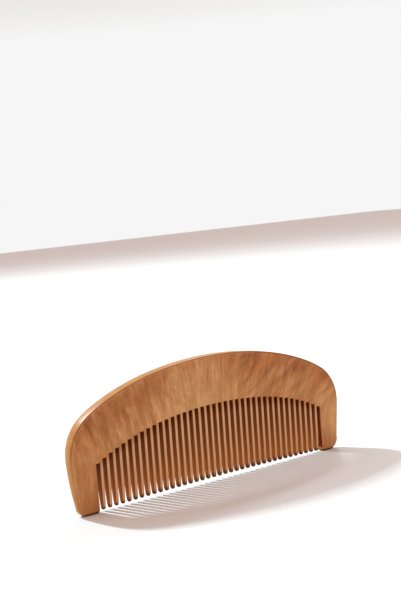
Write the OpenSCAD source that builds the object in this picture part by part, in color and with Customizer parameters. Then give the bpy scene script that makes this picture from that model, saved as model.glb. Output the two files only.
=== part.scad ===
// A wooden hair comb in one piece: a bowed back, two end guards to stand on and a row of fine teeth.
// X runs along the row of teeth, Y through the thickness and Z up. The guards stand on Z = 0.

/* [Body] */
// Length at the widest place, along the row of teeth
comb_length = 129.2; // [126:0.2:140]
// Height from the feet to the top of the back
comb_height = 49.5; // [47:0.5:56]
// Thickness of the back
back_thick = 5.5; // [4.5:0.1:7]
// Thickness of the comb at half the length of the teeth
waist_thick = 3.5; // [3.2:0.1:4.4]
// Thickness of the guards at the floor
foot_thick = 3.1; // [2.4:0.1:3.2]
// Height of the waist above the floor
waist_height = 11; // [8:0.5:14]
// Height above which the comb has its full thickness
full_height = 30; // [24:0.5:34]
// Rounding along both edges of the back and the flanks
edge_radius = 0.6; // [0.3:0.1:1.1]

/* [Outline] */
// Radius of the crown, the middle arc of the back
crown_radius = 138; // [130:2:150]
// Angle from the crown's middle to its end
crown_half_angle = 11.8; // [8:0.2:15]
// Radius of the haunches, the arcs that follow the crown
haunch_radius = 100; // [92:1:108]
// Angle from straight up to the haunches' ends
haunch_end_angle = 24.3; // [20:0.1:26]
// Radius of the bends, the arcs between haunches and shoulders
bend_radius = 51.7; // [44:0.1:60]
// Radius of the shoulders
shoulder_radius = 18.5; // [16:0.1:22]
// Inward lean of the left flank where it leaves the shoulder, in degrees
left_lean = 0; // [0:0.2:3]
// Inward lean of the right flank where it leaves the shoulder, in degrees
right_lean = 4.2; // [0:0.2:6]
// Radius of the left flank, a long arc that draws in towards the foot
left_flank_radius = 85; // [80:5:400]
// Radius of the right flank
right_flank_radius = 300; // [80:5:400]
// Rounding of the left foot's outer corner
left_foot_radius = 3.6; // [0.5:0.1:5.6]
// Rounding of the right foot's outer corner
right_foot_radius = 4.9; // [0.5:0.1:5.6]
// Rounding of both feet's inner corners
inner_foot_radius = 1.3; // [0.5:0.1:2]

/* [Teeth] */
// Number of teeth between the guards
tooth_count = 38; // [20:2:38]
// Distance from one tooth to the next
tooth_pitch = 2.8; // [2.4:0.1:2.8]
// Width of a tooth
tooth_width = 1.2; // [1:0.1:1.6]
// Width of a tooth where its round tip begins
tip_width = 1; // [0.6:0.1:1]
// Thickness of a tooth where its round tip begins
tip_thick = 2.3; // [1.2:0.1:2.6]
// Height above the tip at which a tooth begins to narrow
narrowing = 5; // [3:0.5:8]
// Height of the middle teeth's tips above the floor
tip_gap_middle = 1.2; // [0.6:0.1:2]
// Height of the outermost teeth's tips above the floor
tip_gap_end = 0.5; // [0.3:0.1:2]
// Height of the slots' tops above the floor at the middle
slot_top = 30.4; // [26:0.1:32]
// How much lower the slots' tops lie beside the guards
slot_drop = 11.6; // [8:0.1:13]
// Share of that drop that comes late, close to the guards
slot_drop_late = 0.24; // [0:0.01:0.5]
// Slant of the slots' tops, which lifts them by this at the right end and lowers them at the left
slot_slant = 0.6; // [0:0.1:1]

/* [Hidden] */
wood_color = [0.72, 0.51, 0.33];
crown_steps = 5;
haunch_steps = 5;
bend_steps = 3;
shoulder_steps = 9;
edge_steps = 3;
tip_sides = 16;
corner_steps = 6;
// Room that the cutting shapes leave round the comb
spare = 5;
// Hair's breadth by which a cutting shape clears the surface that it must not graze
hair = 0.05;

row_end = tooth_count*tooth_pitch/2;
slot_width = tooth_pitch - tooth_width;
guard_inner = row_end + slot_width/2;
left_flank = [left_lean, left_flank_radius];
right_flank = [right_lean, right_flank_radius];

// Point of a circle, with the angle measured from straight up towards +X
function arc_point(center, radius, angle) = center + radius*[sin(angle), cos(angle)];

// The four arcs of the right half touch without a kink, so each centre follows from the one before
crown_center = [0, comb_height - crown_radius];
haunch_center = arc_point(crown_center, crown_radius - haunch_radius, crown_half_angle);
bend_center = arc_point(haunch_center, haunch_radius - bend_radius, haunch_end_angle);
bend_run = comb_length/2 - shoulder_radius - bend_center[0];
bend_end_angle = asin(bend_run/(bend_radius - shoulder_radius));
shoulder_center = arc_point(bend_center, bend_radius - shoulder_radius, bend_end_angle);

// Points of an arc from one angle to another, without the last one
function arc_points(center, radius, from, to, steps) =
    [for (i = [0:steps - 1]) arc_point(center, radius, from + (to - from)*i/steps)];

// Centre of the arc of a flank, which is given as its lean at the shoulder and its radius
function flank_center(flank) = arc_point(shoulder_center, shoulder_radius - flank[1], 90 + flank[0]);

// Point at a given height on the arc of a flank that lies inset inside the outline
function flank_point(flank, inset, height) =
    let (center = flank_center(flank))
    [center[0] + sqrt(pow(flank[1] - inset, 2) - pow(height - center[1], 2)), height];

// Right half of the outline from the crown's middle to below the foot, inset by a distance
function half_outline(flank, inset) = concat(
    arc_points(crown_center, crown_radius - inset, 0, crown_half_angle, crown_steps),
    arc_points(haunch_center, haunch_radius - inset, crown_half_angle, haunch_end_angle, haunch_steps),
    arc_points(bend_center, bend_radius - inset, haunch_end_angle, bend_end_angle, bend_steps),
    arc_points(shoulder_center, shoulder_radius - inset, bend_end_angle, 90 + flank[0], shoulder_steps),
    [arc_point(shoulder_center, shoulder_radius - inset, 90 + flank[0])],
    [for (height = [waist_height, waist_height/2, 0, -spare]) flank_point(flank, inset, height)]
);

// Half the comb's thickness at a height
function half_thick(height) =
    let (upper_slope = (back_thick - waist_thick)/2/(full_height - waist_height))
    let (lower_slope = (waist_thick - foot_thick)/2/waist_height)
    let (slope = height > waist_height ? upper_slope : lower_slope)
    min(back_thick/2, waist_thick/2 + (height - waist_height)*slope);

// Height of the slots' tops at a distance from the comb's middle
function slot_top_at(x) =
    let (u = x/row_end)
    slot_top + slot_slant*u - slot_drop*((1 - slot_drop_late)*pow(u, 2) + slot_drop_late*pow(u, 4));

// Height of the tip of a tooth at a distance from the comb's middle
function tip_at(x) = tip_gap_middle - (tip_gap_middle - tip_gap_end)*pow(x/row_end, 2);

// Distance of a tooth from the comb's middle
function tooth_x(i) = (i - (tooth_count - 1)/2)*tooth_pitch;

// Right half of the front's rings, from the outline to the flat face
function half_rings(flank) = [for (i = [0:edge_steps]) let (a = 90*i/edge_steps) [
    for (p = half_outline(flank, edge_radius*(1 - sin(a))))
        [p[0], edge_radius*(1 - cos(a)) - half_thick(p[1]), p[1]]
]];

// The whole comb before its teeth are cut: rings of the outline, one for each step round the edges
module plate() {
    left = half_rings(left_flank);
    right = half_rings(right_flank);
    n = len(right[0]);
    // A ring runs from the left foot over the back to the right foot
    front = [for (k = [0:edge_steps]) concat(
        [for (i = [n - 1:-1:1]) [-left[k][i][0], left[k][i][1], left[k][i][2]]],
        right[k]
    )];
    back = [for (k = [edge_steps:-1:0]) [for (p = front[k]) [p[0], -p[1], p[2]]]];
    rings = concat(front, back);
    ring_size = 2*n - 1;
    last_ring = len(rings) - 1;
    edge_faces = [for (k = [0:last_ring - 1], i = [0:ring_size - 2]) [
        k*ring_size + i, (k + 1)*ring_size + i, (k + 1)*ring_size + i + 1, k*ring_size + i + 1
    ]];
    // The flanks' points lie at unlike heights, so strips across the face are cut into triangles
    front_faces = [for (i = [0:n - 2]) let (j = ring_size - 1 - i) each [[i, i + 1, j], [i + 1, j - 1, j]]];
    back_start = last_ring*ring_size;
    back_faces = [for (f = front_faces) [for (k = [2:-1:0]) back_start + f[k]]];
    foot_face = concat(
        [for (k = [0:last_ring]) (k + 1)*ring_size - 1],
        [for (k = [last_ring:-1:0]) k*ring_size]
    );
    polyhedron(
        points = [for (ring = rings) each ring],
        faces = concat(edge_faces, front_faces, back_faces, [foot_face])
    );
}

// Front view of the right guard from its outer side round the foot to its inner side
function guard_points(flank, outer_radius) =
    let (reach = flank[1] - outer_radius)
    let (lean = asin((flank_center(flank)[1] - outer_radius)/reach))
    let (outer_center = [flank_center(flank)[0] + reach*cos(lean), outer_radius])
    let (inner_center = [guard_inner + inner_foot_radius, inner_foot_radius])
    let (corner_step = (90 - lean)/corner_steps)
    concat(
        [[comb_length/2 + spare, comb_height + spare], [comb_length/2 + spare, slot_top]],
        // The cut starts a hair outside the flank and crosses it where the corner's arc begins
        [arc_point(outer_center, outer_radius + hair, 90 + lean)],
        arc_points(outer_center, outer_radius, 90 + lean + corner_step, 180, corner_steps),
        [[outer_center[0], 0]],
        arc_points(inner_center, inner_foot_radius, 180, 270, corner_steps),
        [[guard_inner, inner_foot_radius]]
    );

// Front view of one tooth from its left side round the tip to its right side
function tooth_points(x) =
    let (tip_center = [x, tip_at(x) + tip_width/2])
    let (neck = tip_at(x) + narrowing)
    concat(
        [[x - tooth_width/2, neck]],
        arc_points(tip_center, tip_width/2, 270, 90, tip_sides/2),
        [[x + tip_width/2, tip_center[1]], [x + tooth_width/2, neck]]
    );

// Top of one slot, cut on the curve that the slots' tops follow
function slot_points(x) =
    [for (side = [-1, 1]) [x + side*slot_width/2, slot_top_at(x + side*slot_width/2)]];

// Front view of a tooth with the top of the slot on its right
function tooth_and_slot(x) = concat(tooth_points(x), slot_points(x + tooth_pitch/2));

// Front view of the comb below its back: the left guard, slots and teeth in turn, the right guard
module front_view() {
    right_guard = guard_points(right_flank, right_foot_radius);
    left_guard = [for (p = guard_points(left_flank, left_foot_radius)) [-p[0], p[1]]];
    polygon(concat(
        left_guard,
        slot_points(-row_end),
        [for (i = [0:tooth_count - 1]) each tooth_and_slot(tooth_x(i))],
        [for (i = [len(right_guard) - 1:-1:0]) right_guard[i]]
    ));
}

// Side view of one tooth: it thins from just under the waist down to a round tip
module tooth_taper(x) {
    reach = tooth_width + slot_width/2;
    root_thick = waist_thick + 4*hair;
    hull() {
        translate([x - reach/2, 0, tip_at(x) + tip_thick/2])
            rotate([0, 90, 0]) rotate([0, 0, 180/tip_sides])
                cylinder(d = tip_thick, h = reach, $fn = tip_sides);
        translate([x - reach/2, -root_thick/2, waist_height]) cube([reach, root_thick, spare]);
    }
}

// Room that holds the guards, the back and the thinned teeth
module side_view() {
    width = comb_length + 2*spare;
    depth = back_thick + 2*spare;
    guard_room = width/2 - row_end;
    translate([-width/2, -depth/2, waist_height]) cube([width, depth, comb_height]);
    translate([row_end, -depth/2, -spare]) cube([guard_room, depth, comb_height]);
    translate([-width/2, -depth/2, -spare]) cube([guard_room, depth, comb_height]);
    for (i = [0:tooth_count - 1]) tooth_taper(tooth_x(i));
}

module comb() {
    color(wood_color)
    intersection() {
        plate();
        rotate([90, 0, 0]) translate([0, 0, -back_thick]) linear_extrude(2*back_thick) front_view();
        side_view();
    }
}

comb();
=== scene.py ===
import math

import bmesh
import bpy
from mathutils import Matrix, Vector


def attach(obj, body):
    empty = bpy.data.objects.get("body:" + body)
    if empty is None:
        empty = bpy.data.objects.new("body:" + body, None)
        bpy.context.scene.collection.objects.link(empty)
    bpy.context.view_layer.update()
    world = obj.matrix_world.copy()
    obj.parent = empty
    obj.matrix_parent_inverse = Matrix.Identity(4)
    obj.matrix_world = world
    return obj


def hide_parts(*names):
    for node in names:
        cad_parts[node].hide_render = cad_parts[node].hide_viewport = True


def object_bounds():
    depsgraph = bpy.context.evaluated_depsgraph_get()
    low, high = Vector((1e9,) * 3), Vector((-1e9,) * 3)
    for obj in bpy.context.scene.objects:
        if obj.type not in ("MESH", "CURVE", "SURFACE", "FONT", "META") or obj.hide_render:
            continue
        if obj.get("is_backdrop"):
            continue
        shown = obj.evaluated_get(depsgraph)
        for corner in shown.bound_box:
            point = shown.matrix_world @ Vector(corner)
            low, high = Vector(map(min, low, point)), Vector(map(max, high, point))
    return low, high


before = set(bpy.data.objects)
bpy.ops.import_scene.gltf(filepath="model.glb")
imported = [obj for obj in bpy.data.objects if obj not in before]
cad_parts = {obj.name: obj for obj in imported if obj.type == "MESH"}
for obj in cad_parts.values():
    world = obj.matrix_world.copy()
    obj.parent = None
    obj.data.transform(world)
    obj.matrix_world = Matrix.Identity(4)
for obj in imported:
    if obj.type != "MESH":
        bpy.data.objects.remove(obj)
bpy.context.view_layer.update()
scene = bpy.context.scene

# Camera. It stands low, some 0.4 m off, to the left of the comb's middle and in front of its face.
# The long lens keeps the teeth nearly parallel, and a slight roll lets the comb climb to the right.
camera_place = (-0.24347, -0.34750, 0.10602)
camera_heading, camera_dip, camera_roll = 35.07, 4.75, -5.70
camera = bpy.data.objects.new("camera", bpy.data.cameras.new("camera"))
camera.data.lens = 65.9
camera.data.sensor_width = 36
camera.matrix_world = (
    Matrix.Translation(camera_place)
    @ Matrix.Rotation(math.radians(-camera_heading), 4, "Z")
    @ Matrix.Rotation(math.radians(90 - camera_dip), 4, "X")
    @ Matrix.Rotation(math.radians(camera_roll), 4, "Z")
)
scene.collection.objects.link(camera)
scene.camera = camera

# The comb's outline. One wooden blank is sawn to a bowed back with rounded shoulders and flanks that
# draw in towards the feet. A fine saw cuts the slots, whose tops lie on a bow that keeps nearly the
# same distance from the back all along. Sizes are in mm.
MM = 0.001
comb_height = 49.5
half_length = 64.6
crown_radius, crown_end, crown_steps = 138.0, 11.8, 14
haunch_radius, haunch_end, haunch_steps = 100.0, 24.3, 14
bend_radius, bend_steps = 51.7, 8
shoulder_radius, shoulder_steps = 18.5, 26
flank_leans, flank_radii = {-1: 0.0, 1: 4.2}, {-1: 85.0, 1: 300.0}
foot_radii = {-1: 3.6, 1: 4.9}
inner_foot_radius = 1.3
corner_steps = 8
tooth_count, tooth_pitch, tooth_width = 38, 2.8, 1.2
tip_width, tip_steps, narrowing = 1.1, 10, 4.0
tip_gap_middle, tip_gap_end = 1.2, 0.5
slots_top, slots_drop, late_drop_share, slots_slant = 30.4, 11.6, 0.24, 0.6
slot_follows_bow = 0.3
rim_rounding, flank_rounding, corner_rounding, foot_rounding = 0.6, 1.2, 0.9, 0.4
slot_rounding, tip_rounding = 0.2, 0.33
cut_heights = (2.2, 3.6, 5, 6.5, 8, 9.5, 11, 13, 15.5, 18, 21, 24, 27)

row_end = tooth_count * tooth_pitch / 2
slot_width = tooth_pitch - tooth_width
guard_inner = row_end + slot_width / 2


def next_center(center, step, angle):
    """Centre of the next arc: a step from the last centre, at an angle from straight up."""
    turned = math.radians(angle)
    return (center[0] + step * math.sin(turned), center[1] + step * math.cos(turned))


crown_center = (0.0, comb_height - crown_radius)
haunch_center = next_center(crown_center, crown_radius - haunch_radius, crown_end)
bend_center = next_center(haunch_center, haunch_radius - bend_radius, haunch_end)
bend_run = (half_length - shoulder_radius - bend_center[0]) / (bend_radius - shoulder_radius)
bend_end = math.degrees(math.asin(bend_run))
shoulder_center = next_center(bend_center, bend_radius - shoulder_radius, bend_end)


def slot_top(x):
    """Height of the bow that the middles of the slots' tops lie on."""
    out = x / row_end
    drop = (1 - late_drop_share) * out**2 + late_drop_share * out**4
    return slots_top + slots_slant * out - slots_drop * drop


def slot_corner(middle, way):
    """Height of a slot's top corner. The slot's top is nearly level and follows the bow only a little."""
    return slot_top(middle + way * slot_follows_bow * slot_width / 2)


def tip_height(x):
    """Height of a tooth's tip above the floor."""
    return tip_gap_middle - (tip_gap_middle - tip_gap_end) * (x / row_end) ** 2


def flank_center(side):
    """Centre of a flank's long arc, which leaves the shoulder with some lean."""
    return next_center(shoulder_center, shoulder_radius - flank_radii[side], 90 + flank_leans[side])


def flank_x(side, height):
    """How far out a flank's long arc lies at a height."""
    center = flank_center(side)
    return center[0] + math.sqrt(flank_radii[side] ** 2 - (height - center[1]) ** 2)


wood = bmesh.new()
inward_of = wood.verts.layers.float_vector.new("inward")
rounding_of = wood.verts.layers.float.new("rounding")
tip_of = wood.verts.layers.float.new("tip")
wall_of = wood.verts.layers.float.new("wall")
sawn_of = wood.verts.layers.float.new("sawn")
turn_of = wood.verts.layers.float.new("turn")
tooth_of = wood.verts.layers.float.new("tooth")


class Pencil:
    """Draws one half of the outline on from its last point. side is -1 for the left half.

    tip and root are a tooth's lowest and highest points, or -1 and 0 away from the teeth. wall is 1
    from the first slot on, where the edge is sawn.
    """

    def __init__(self, start, side):
        self.end, self.side = start, side
        self.tip, self.root, self.wall = -1.0, 0.0, 0.0

    def mark(self, vert, inward, rounding):
        """inward is the way into the wood, and rounding the radius that the edge gets there."""
        vert[inward_of] = (inward[0], 0, inward[1])
        vert[rounding_of] = rounding
        vert[tip_of] = self.tip
        vert[wall_of] = self.wall
        vert[tooth_of] = max(0.0, (self.root - vert.co.z) / (self.root - self.tip))
        self.end = vert

    def line(self, x, z, inward, rounding):
        made = bmesh.ops.extrude_vert_indiv(wood, verts=[self.end])["verts"][0]
        made.co = (self.side * x, 0, z)
        self.mark(made, (self.side * inward[0], inward[1]), rounding)

    def arc(self, center, degrees, steps, rounding):
        """rounding is the radius at the arc's start and at its end."""
        first = len(wood.verts)
        middle = Vector((self.side * center[0], 0, center[1]))
        bmesh.ops.spin(
            wood, geom=[self.end], cent=middle, axis=(0, 1, 0),
            angle=math.radians(self.side * degrees), steps=steps, use_merge=False,
        )
        wood.verts.ensure_lookup_table()
        for i in range(steps):
            vert = wood.verts[first + i]
            inward = (middle - vert.co).normalized()
            share = (i + 1) / steps
            self.mark(vert, (inward.x, inward.z), rounding[0] + (rounding[1] - rounding[0]) * share)

    def sides(self, x_at, inward, low, high, rounding_at, up):
        """A nearly upright edge with a point at each cut height between low and high.

        x_at and rounding_at tell its place and its rounding at a height. inward is 1 or -1, along x.
        """
        clear = 0.35
        for z in cut_heights if up else reversed(cut_heights):
            if low + clear < z < high - clear:
                self.line(x_at(z), z, (inward, 0), rounding_at(z))


def tooth_half_width(above_tip):
    """Half the width of a tooth at a height above its tip: it swells smoothly to its full width."""
    t = min(1.0, max(0.0, (above_tip - tip_width / 2) / (narrowing - tip_width / 2)))
    return tip_width / 2 + (tooth_width - tip_width) / 2 * t * (2 - t)


def tooth_rounding(above_tip):
    """The edges of a tooth are rounder towards its tip, where little of the flat face is left."""
    t = min(1.0, max(0.0, above_tip / narrowing))
    return slot_rounding + (tip_rounding - slot_rounding) * (1 - t) ** 2


def draw_back(pen):
    """From the crown's middle over haunch and bend to the shoulder's end."""
    rim = (rim_rounding, rim_rounding)
    pen.arc(crown_center, crown_end, crown_steps, rim)
    pen.arc(haunch_center, haunch_end - crown_end, haunch_steps, rim)
    pen.arc(bend_center, bend_end - haunch_end, bend_steps, rim)
    shoulder_turn = 90 + flank_leans[pen.side] - bend_end
    pen.arc(shoulder_center, shoulder_turn, shoulder_steps, (rim_rounding, flank_rounding))


def draw_guard(pen):
    """Down the flank, round the foot and up to the top of the slot beside the guard."""
    side, outer = pen.side, foot_radii[pen.side]
    center, reach = flank_center(side), flank_radii[side] - outer
    lean = math.asin((center[1] - outer) / reach)
    outer_center = (center[0] + reach * math.cos(lean), outer)
    corner_top = outer - outer * math.sin(lean)
    pen.sides(lambda z: flank_x(side, z), -1, corner_top, pen.end.co.z, lambda z: flank_rounding, up=False)
    pen.line(flank_x(side, corner_top), corner_top, (-math.cos(lean), math.sin(lean)), corner_rounding)
    pen.arc(outer_center, 90 - math.degrees(lean), corner_steps, (corner_rounding, foot_rounding))
    inner_center = (guard_inner + inner_foot_radius, inner_foot_radius)
    pen.line(inner_center[0], 0, (0, 1), foot_rounding)
    pen.arc(inner_center, 90, corner_steps, (foot_rounding, slot_rounding))
    pen.wall = 1.0
    slot_z = slot_corner(side * row_end, side)
    pen.sides(lambda z: guard_inner, 1, inner_foot_radius, slot_z, lambda z: slot_rounding, up=True)
    pen.line(guard_inner, slot_z, (1, 1), slot_rounding)


def draw_tooth(pen, x):
    """Down a tooth's outer side from one slot's top, round the tip and up to the next slot's top."""
    tip = tip_height(x)
    tip_start = tip + tip_width / 2
    for way in (1, -1):
        edge = x + way * tooth_width / 2
        root = slot_corner(pen.side * (x + way * tooth_pitch / 2), -pen.side * way)
        if way == 1:
            pen.line(edge, root, (-1, 1), slot_rounding)
        pen.tip, pen.root = tip, root
        pen.sides(
            lambda z: x + way * tooth_half_width(z - tip), -way, tip_start, root,
            lambda z: tooth_rounding(z - tip), up=way == -1,
        )
        if way == 1:
            pen.line(x + tip_width / 2, tip_start, (-1, 0), tooth_rounding(tip_width / 2))
            pen.arc((x, tip_start), 180, tip_steps, (tooth_rounding(tip_width / 2),) * 2)
        else:
            pen.tip, pen.root = -1.0, 0.0
            pen.line(edge, root, (1, 1), slot_rounding)


def draw_half(start, side):
    """Back, guard and teeth of one half, from the crown's middle to the slot in the comb's middle."""
    pen = Pencil(start, side)
    draw_back(pen)
    draw_guard(pen)
    for i in range(tooth_count // 2):
        draw_tooth(pen, row_end - tooth_pitch / 2 - i * tooth_pitch)
    return pen.end


top = wood.verts.new((0, 0, comb_height))
top[inward_of] = (0, 0, -1)
top[rounding_of] = rim_rounding
top[tip_of] = -1.0
wood.edges.new((draw_half(top, -1), draw_half(top, 1)))

# The comb's thickness. The blank is sanded thinner towards the teeth's ends, its back edge and
# flanks are rolled over, and each tooth is thinned to a round point. Rings grow from the outline.
back_half, waist_half, foot_half = 2.75, 1.75, 1.55
waist_height, full_height = 11.0, 30.0
tip_half, root_half = 1.15, 1.85
waist_easing, full_easing, taper_easing = 4, 5, 0.1
rim_swell, rolling_steps = 0.1, 4
face_inset, face_shelf, face_turn = 1.12, 0.3, 2.0
sharp_angle = 40


def bend(t, reach):
    """A ramp that starts at zero and is rounded over a reach on both sides."""
    if abs(t) < reach:
        return (t + reach) ** 2 / (4 * reach)
    return max(t, 0.0)


def half_thickness(z):
    """Half the wood's thickness at a height, from the feet over the waist to the full thickness."""
    low_slope = (waist_half - foot_half) / waist_height
    high_slope = (back_half - waist_half) / (full_height - waist_height)
    rise = foot_half + low_slope * z + (high_slope - low_slope) * bend(z - waist_height, waist_easing)
    return rise - high_slope * bend(z - full_height, full_easing)


def depth_at(vert, z, share):
    """Distance from the middle of the wood. share is 1 on the flat face and 0 where the rim starts."""
    half = half_thickness(z)
    tip = vert[tip_of]
    over = 1.0
    if tip > 0:
        slope = (root_half - tip_half) / (waist_height - tip - tip_half)
        half -= bend(half - tip_half - slope * (z - tip - tip_half), taper_easing)
        over = math.sqrt(max(0.0, 1 - max(0.0, 1 - (z - tip) / tip_half) ** 2))
    return half * over * (1 - vert[rounding_of] / max(half, tip_half) * (1 - share))


def grow(edges, way, inset, share, inside, turn, shelf=0.0):
    """The next ring towards one face: the last ring is extruded, and its points take their places."""
    made = bmesh.ops.extrude_edge_only(wood, edges=edges)["geom"]
    for vert in (v for v in made if isinstance(v, bmesh.types.BMVert)):
        inward, rounding = Vector(vert[inward_of]), vert[rounding_of]
        vert.co += inward * (rounding * (inset - inside) + shelf * (1 - vert[wall_of]))
        vert.co.y = way * depth_at(vert, vert.co.z, share)
        vert[turn_of] = turn
        vert[sawn_of] = vert[wall_of] * max(0.0, 1 - turn)
    return [e for e in made if isinstance(e, bmesh.types.BMEdge)]


outline = wood.edges[:]
for vert in wood.verts:
    vert[sawn_of] = vert[wall_of]
for way in (-1, 1):
    ring, inside = outline, 0.0
    for i in range(rolling_steps + 1):
        turn = i / rolling_steps
        inset = rim_swell + (1 - rim_swell) * (1 - math.cos(math.pi / 2 * turn))
        ring = grow(ring, way, inset, math.sin(math.pi / 2 * turn), inside, turn)
        inside = inset
    ring = grow(ring, way, face_inset, 1.0, inside, face_turn, shelf=face_shelf)
    face = bmesh.ops.edgeloop_fill(wood, edges=ring)["faces"][0]
    cut = [face, *face.edges, *face.verts]
    for z in cut_heights:
        cut = bmesh.ops.bisect_plane(
            wood, geom=cut, dist=0.0005, plane_co=(0, 0, z), plane_no=(0, 0, 1)
        )["geom"]
bmesh.ops.remove_doubles(wood, verts=wood.verts, dist=0.0001)
bmesh.ops.recalc_face_normals(wood, faces=wood.faces)
for face in wood.faces:
    face.smooth = True
bmesh.ops.scale(wood, verts=wood.verts, vec=(MM, MM, MM))
comb_mesh = bpy.data.meshes.new("comb_wood")
wood.to_mesh(comb_mesh)
comb = bpy.data.objects.new("comb_wood", comb_mesh)
scene.collection.objects.link(comb)
comb_mesh.set_sharp_from_angle(angle=math.radians(sharp_angle))
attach(comb, "root")
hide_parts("comb")

# Wood. Fine-pored fruitwood, sanded smooth and oiled to a satin finish. The grain stands along the
# teeth and opens like a fan towards the back, with darker flecks of figure leaning across it.
class Term:
    """One value, vector or colour of a material. Arithmetic on terms adds the Math nodes for it."""

    def __init__(self, tree, socket=None):
        self.tree, self.socket = tree, socket

    def node(self, kind, settings, values, output=0):
        """Adds a node. Its settings are made first, and then its sockets get values or links.

        The stops of a colour ramp are one of the settings. A new ramp has the first two already.
        """
        made = self.tree.nodes.new(kind)
        for name, setting in settings.items():
            if name == "stops":
                for k, (position, color) in enumerate(setting):
                    stops = made.color_ramp.elements
                    stop = stops[k] if k < 2 else stops.new(position)
                    stop.position, stop.color = position, (*color, 1)
            else:
                setattr(made, name, setting)
        for name, value in values.items():
            if isinstance(value, Term):
                self.tree.links.new(value.socket, made.inputs[name])
            else:
                made.inputs[name].default_value = value
        return Term(self.tree, made.outputs[output])

    def math(self, operation, *values):
        return self.node("ShaderNodeMath", {"operation": operation}, dict(enumerate(values)))

    def __add__(self, other):
        return self.math("ADD", self, other)

    def __sub__(self, other):
        return self.math("SUBTRACT", self, other)

    def __rsub__(self, other):
        return self.math("SUBTRACT", other, self)

    def __mul__(self, other):
        return self.math("MULTIPLY", self, other)

    def __truediv__(self, other):
        return self.math("DIVIDE", self, other)

    __radd__, __rmul__ = __add__, __mul__

    def ramp(self, low, high, bottom=0.0, top=1.0):
        """A smooth step of this value from bottom at low to top at high."""
        return self.node(
            "ShaderNodeMapRange", {"interpolation_type": "SMOOTHSTEP"},
            {"Value": self, "From Min": low, "From Max": high, "To Min": bottom, "To Max": top},
        )

    def tint(self, color, share, blend="MIX"):
        """This colour mixed with another one by a share."""
        return self.node(
            "ShaderNodeMix", {"data_type": "RGBA", "blend_type": blend}, {0: share, 6: self, 7: color}, 2
        )

    def stretched(self, across, deep, along):
        """This vector with each of its parts scaled."""
        return self.node(
            "ShaderNodeVectorMath", {"operation": "MULTIPLY"}, {0: self, 1: (across, deep, along)}
        )

    def cloud(self, detail, roughness=0.5):
        """Soft noise from about 0.3 to 0.7 at this place."""
        values = {"Vector": self, "Scale": 1.0, "Detail": detail, "Roughness": roughness}
        return self.node("ShaderNodeTexNoise", {}, values)


pear = bpy.data.materials.new("pear_wood")
pear.use_nodes = True
shade = pear.node_tree.nodes["Principled BSDF"]
start = Term(pear.node_tree)


def attribute(name):
    return start.node("ShaderNodeAttribute", {"attribute_name": name}, {}, "Fac")


def vector(x, y, z):
    return start.node("ShaderNodeCombineXYZ", {}, {"X": x, "Y": y, "Z": z})


# Places on the comb, again in mm, and what the mesh says of them. sawn is 1 on the slots' walls. turn
# runs from 0 at the rim's middle to 1 where a flat face starts, and tooth from 0 at a root to 1 at a tip.
spot = start.node("ShaderNodeTexCoord", {}, {}, "Object").stretched(1 / MM, 1 / MM, 1 / MM)
x, y, z = (start.node("ShaderNodeSeparateXYZ", {}, {"Vector": spot}, axis) for axis in "XYZ")
sawn, turn, tooth = attribute("sawn"), attribute("turn"), attribute("tooth")

# The fan: across counts the fibres from left to right, wherever they lean. They open towards the back.
fan_foot, fan_slant, fan_opening = 20, 0.12, 0.0106
rise = z - fan_foot
spread = start.math("SMOOTH_MAX", rise, 0.0, 16.0)
wander = spot.stretched(0.05, 0.05, 0.03).cloud(2) - 0.5
across = (x - fan_slant * rise + 5 * wander) / (1 + fan_opening * spread) + 0.3 * y
grain = vector(across, y, z)
fibre = grain.stretched(1.4, 1.4, 0.1).cloud(5, 0.72)
layer = grain.stretched(0.42, 0.42, 0.03).cloud(3)
broad = spot.stretched(0.07, 0.1, 0.06).cloud(2)
pore = grain.stretched(6, 6, 0.8).cloud(1).ramp(0.6, 0.7)


def leaning(degrees, width, length):
    """Noise drawn out along a wavering line that leans from straight up by an angle."""
    waved = vector(x + 9 * (spot.stretched(0.09, 0.05, 0.09).cloud(1) - 0.5), y, z)
    values = {"Vector": waved, "Angle": math.radians(-degrees)}
    turned = start.node("ShaderNodeVectorRotate", {"rotation_type": "Y_AXIS"}, values)
    return turned.stretched(1 / width, 0.15, 1 / length).cloud(4, 0.6)


# The figure: mottles that lean left on the left half and longer flecks that lean right on the other.
right_half = x.ramp(2, 16)
mottle = leaning(-22, 2.6, 6.5) * (1 - right_half) + leaning(49, 2.6, 12) * right_half
calm = 1 - 0.55 * (1 - start.math("ABSOLUTE", x).ramp(4, 20))
figure = (mottle - 0.5) * calm * z.ramp(8, 38, 0.15, 1.0)
olive = spot.stretched(0.2, 0.2, 0.16).cloud(3, 0.6).ramp(0.48, 0.66)


def streak(x_at, z_at, degrees, width, length):
    """A single dark streak in the figure, with soft sides and ends."""
    sine, cosine = math.sin(math.radians(degrees)), math.cos(math.radians(degrees))
    side = ((x - x_at) * cosine - (z - z_at) * sine) / width + 2 * (mottle - 0.5)
    end = ((x - x_at) * sine + (z - z_at) * cosine) / length
    return start.math("EXPONENT", -1 * (side * side + end * end))


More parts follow.
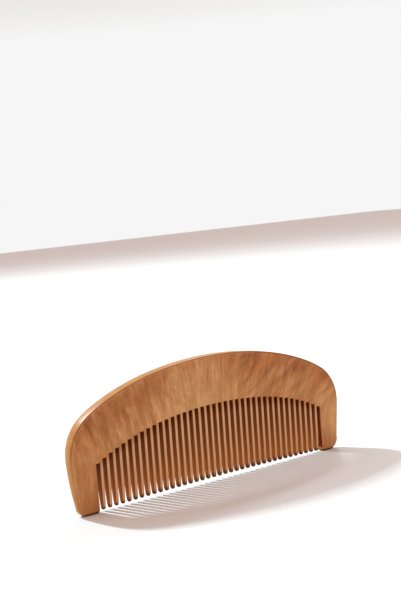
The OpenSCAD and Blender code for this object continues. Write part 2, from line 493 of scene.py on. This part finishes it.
# Strength, place from the left and up, lean in degrees, width and length.
single_streaks = (
    (1.0, -55, 29.5, -23, 0.6, 6),
    (0.3, -33, 40.5, 68, 3, 14),
    (0.4, -26.5, 41, -22, 2.8, 4),
    (0.3, -47.5, 36.5, -10, 1.6, 3.5),
    (0.2, -34.5, 36.5, -10, 1.5, 3),
    (0.5, -60, 20, -8, 2.6, 9),
    (0.8, 20, 39.5, 43, 0.9, 5.5),
    (1.0, 24.5, 35.8, 50, 0.6, 3.5),
    (1.0, 37.8, 36, 36, 0.8, 4.5),
    (1.0, 47.5, 36.8, 40, 1.4, 2.4),
    (0.8, 52.3, 33.6, 40, 1.2, 2),
    (0.7, 43.5, 30.5, 30, 0.5, 3),
    (0.6, 42.5, 37.5, 40, 2.4, 4),
    (0.6, 12, 38.5, 42, 0.6, 4),
    (0.5, 31, 34, 35, 0.6, 4),
)
marks = sum(strength * streak(*place) for strength, *place in single_streaks)

# Colour: honey tan, palest in the middle, redder and darker in the flecks, the pores and late growth.
pale_tan, honey_tan, red_brown = (0.76, 0.40, 0.160), (0.515, 0.190, 0.057), (0.32, 0.084, 0.017)
olive_tan = (0.50, 0.235, 0.080, 1)
palest_x, back_curve = -8, 0.0042
middle = 1 - start.math("ABSOLUTE", x - palest_x).ramp(4, 36)
guard = x.ramp(50, 58) * (1 - z.ramp(22, 32))
back = (z + back_curve * x * x).ramp(33, 49)
low = 1 - z.ramp(2, 10)
tone = 0.49 + (1.3 + 0.3 * right_half) * figure + 1.1 * (fibre - 0.5)
tone = tone + 0.5 * (layer - 0.5) + 0.4 * (broad - 0.5) + 0.32 * marks + 0.08 * pore
tone = tone - 0.26 * middle - 0.2 * guard + 0.2 * low + 0.2 * (back - 0.4)
color = tone.node(
    "ShaderNodeValToRGB",
    {"stops": ((0.0, pale_tan), (1.0, red_brown), (0.5, honey_tan))},
    {"Fac": tone},
)
color = color.tint(olive_tan, 0.35 * olive)

# The rolled back edge is end grain: it took up more oil, in patches. The arris is darker, partly from
# the oil and partly as painted shade where the edge rolls away from the light. From the left end to the
# middle a painted highlight runs beside the arris as a pale line.
oiled_tan, arris_highlight_tan = (0.54, 0.245, 0.068, 1), (0.66, 0.33, 0.16, 1)
warm_orange, arris_oil_and_shade = (0.62, 0.20, 0.040, 1), (0.32, 0.085, 0.018, 1)
rim = 1 - turn.ramp(0.2, 0.9)
patch = spot.stretched(0.16, 0.25, 0.16).cloud(2).ramp(0.45, 0.62)
color = color.tint(oiled_tan, (0.5 + 0.3 * patch) * rim * (1 - sawn))
far = x.ramp(10, 36)
arris = turn.ramp(0.3, 0.62) * (1 - turn.ramp(0.7 + 0.3 * far, 1 + 0.5 * far))
arris = arris * (1 - sawn) * z.ramp(12, 36, 0.4, 1.0)
painted_highlight_line = turn.ramp(0.8, 1.0) * (1 - turn.ramp(1.1, 2.0)) * (1 - far)
warm = streak(29, 43.0, 72, 2.0, 9) + streak(53, 32, -25, 2.2, 4)
color = color.tint(warm_orange, 0.45 * warm)
# Partly painted shade: the arris is darkened where the edge rolls away from the light, over darker oiled
# wood.
color = color.tint(arris_oil_and_shade, 0.65 * arris)
# Painted highlight: a pale line beside the arris, from the left end to the middle.
color = color.tint(arris_highlight_tan, 0.55 * painted_highlight_line)

# The saw left the slots' walls bare and rough. They are painted darker as shade in the slots, darkest at
# the slots' tops and lighter towards the tips, where light gets in. The tips are darker, partly end grain
# and partly painted shade, and the feet carry a painted contact shadow. Between them the teeth's faces
# are painted paler, partly paler wood and partly painted light thrown up from the floor.
tooth_tan_and_floor_light, slot_shade_toward_tips = (0.84, 0.49, 0.26, 1), (0.45, 0.135, 0.018, 1)
slot_shade_dark, end_stain_and_shade = (0.29, 0.085, 0.01, 1), (0.20, 0.10, 0.05, 1)
tip = tooth.ramp(0.9, 0.985)
foot = 1 - z.ramp(0.6, 1.15)
# Partly painted light: the teeth's faces are made paler, as if lit by the floor below, over paler wood.
color = color.tint(tooth_tan_and_floor_light, 0.7 * tooth.ramp(0.0, 0.2) * (1 - tip))
# Painted shade on the slots' walls: darkest at the slots' tops and lighter towards the tips.
shaded_slot_walls = color.tint(slot_shade_dark, 1.0, "MULTIPLY").tint(slot_shade_toward_tips, 0.85 * tooth.ramp(0.05, 1.0))
color = color.tint(shaded_slot_walls, 0.95 * sawn)
# A painted contact shadow along the feet's bottoms, and darker tips, partly end grain and partly painted
# shade.
color = color.tint(end_stain_and_shade, 0.9 * start.math("MAXIMUM", tip, foot), "MULTIPLY")
pear.node_tree.links.new(color.socket, shade.inputs["Base Color"])

# Finish: a thin satin coat over wood that hardly mirrors. The bare walls lack it. Pores and grain
# roughen it and stand in faint relief.
gloss = 0.42 + 0.25 * (fibre - 0.5) + 0.1 * pore + 0.3 * sawn - 0.06 * rim
pear.node_tree.links.new(gloss.socket, shade.inputs["Roughness"])
height = fibre + 0.5 * layer - 0.6 * pore
bump = start.node("ShaderNodeBump", {}, {"Strength": 0.35, "Distance": 0.00008, "Height": height})
pear.node_tree.links.new(bump.socket, shade.inputs["Normal"])
shade.inputs["Specular IOR Level"].default_value = 0.04
polish = (0.6 + 0.5 * (fibre - 0.5)) * (1 - sawn)
pear.node_tree.links.new(polish.socket, shade.inputs["Coat Weight"])
shade.inputs["Coat Roughness"].default_value = 0.36
shade.inputs["Coat IOR"].default_value = 1.33
comb_mesh.materials.append(pear)

# Floor. A wide sheet of matt white board that the comb stands on. It is laid flat, 4 m to each side
# of the comb, and its far edge makes the horizon.
sheet = bmesh.new()
bmesh.ops.create_grid(sheet, x_segments=1, y_segments=1, size=4.0)
floor_mesh = bpy.data.meshes.new("floor")
sheet.to_mesh(floor_mesh)
floor = bpy.data.objects.new("floor", floor_mesh)
scene.collection.objects.link(floor)
board = bpy.data.materials.new("white_board")
board.use_nodes = True
matt = board.node_tree.nodes["Principled BSDF"]
matt.inputs["Base Color"].default_value = (0.87, 0.87, 0.87, 1)
matt.inputs["Roughness"].default_value = 0.9
floor_mesh.materials.append(board)
floor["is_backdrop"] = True

# Light. A soft box hangs high behind the comb's left end. It is taller than wide, so that level
# edges cast softer shadows than upright ones. A weaker box behind the right end lights the far end
# of that shadow. The room is a warm grey, white low down and brighter overhead.
lamp_distance = 2.0


def hang_lamp(name, size, energy, azimuth, height):
    """An area lamp behind the comb that faces it, turned left by an azimuth and up by a height."""
    lamp = bpy.data.objects.new(name, bpy.data.lights.new(name, "AREA"))
    lamp.data.shape = "RECTANGLE"
    lamp.data.size, lamp.data.size_y = size
    lamp.data.energy = energy
    lamp.data.color = (0.80, 1.0, 1.05)
    lamp.matrix_world = (
        Matrix.Rotation(math.radians(180 + azimuth), 4, "Z")
        @ Matrix.Rotation(math.radians(90 - height), 4, "X")
        @ Matrix.Translation((0, 0, lamp_distance))
    )
    scene.collection.objects.link(lamp)


hang_lamp("soft_box", size=(0.07, 0.28), energy=34.0, azimuth=14.0, height=43.3)
hang_lamp("side_box", size=(0.3, 0.3), energy=9.5, azimuth=-43.0, height=44.0)
room = bpy.data.worlds.new("room")
room.use_nodes = True
air = Term(room.node_tree)
way = air.node("ShaderNodeTexCoord", {}, {}, "Generated")
up = air.node("ShaderNodeSeparateXYZ", {}, {"Vector": way}, "Z")
white, warm_grey = (0.92, 0.92, 0.92), (0.54, 0.43, 0.39)
walls = up.node(
    "ShaderNodeValToRGB",
    {"stops": ((0.16, white), (0.3, warm_grey))},
    {"Fac": up},
)
overhead, sky_glow = (-0.30, 0.40, 0.87), (1.5, 1.25, 1.15, 1)
toward = air.node("ShaderNodeVectorMath", {"operation": "DOT_PRODUCT"}, {0: way, 1: overhead}, "Value")
walls = walls.tint(sky_glow, 0.5 * toward.ramp(0.6, 1.0))
room.node_tree.links.new(walls.socket, room.node_tree.nodes["Background"].inputs["Color"])
scene.world = room
scene.view_settings.view_transform = "Standard"

low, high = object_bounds()
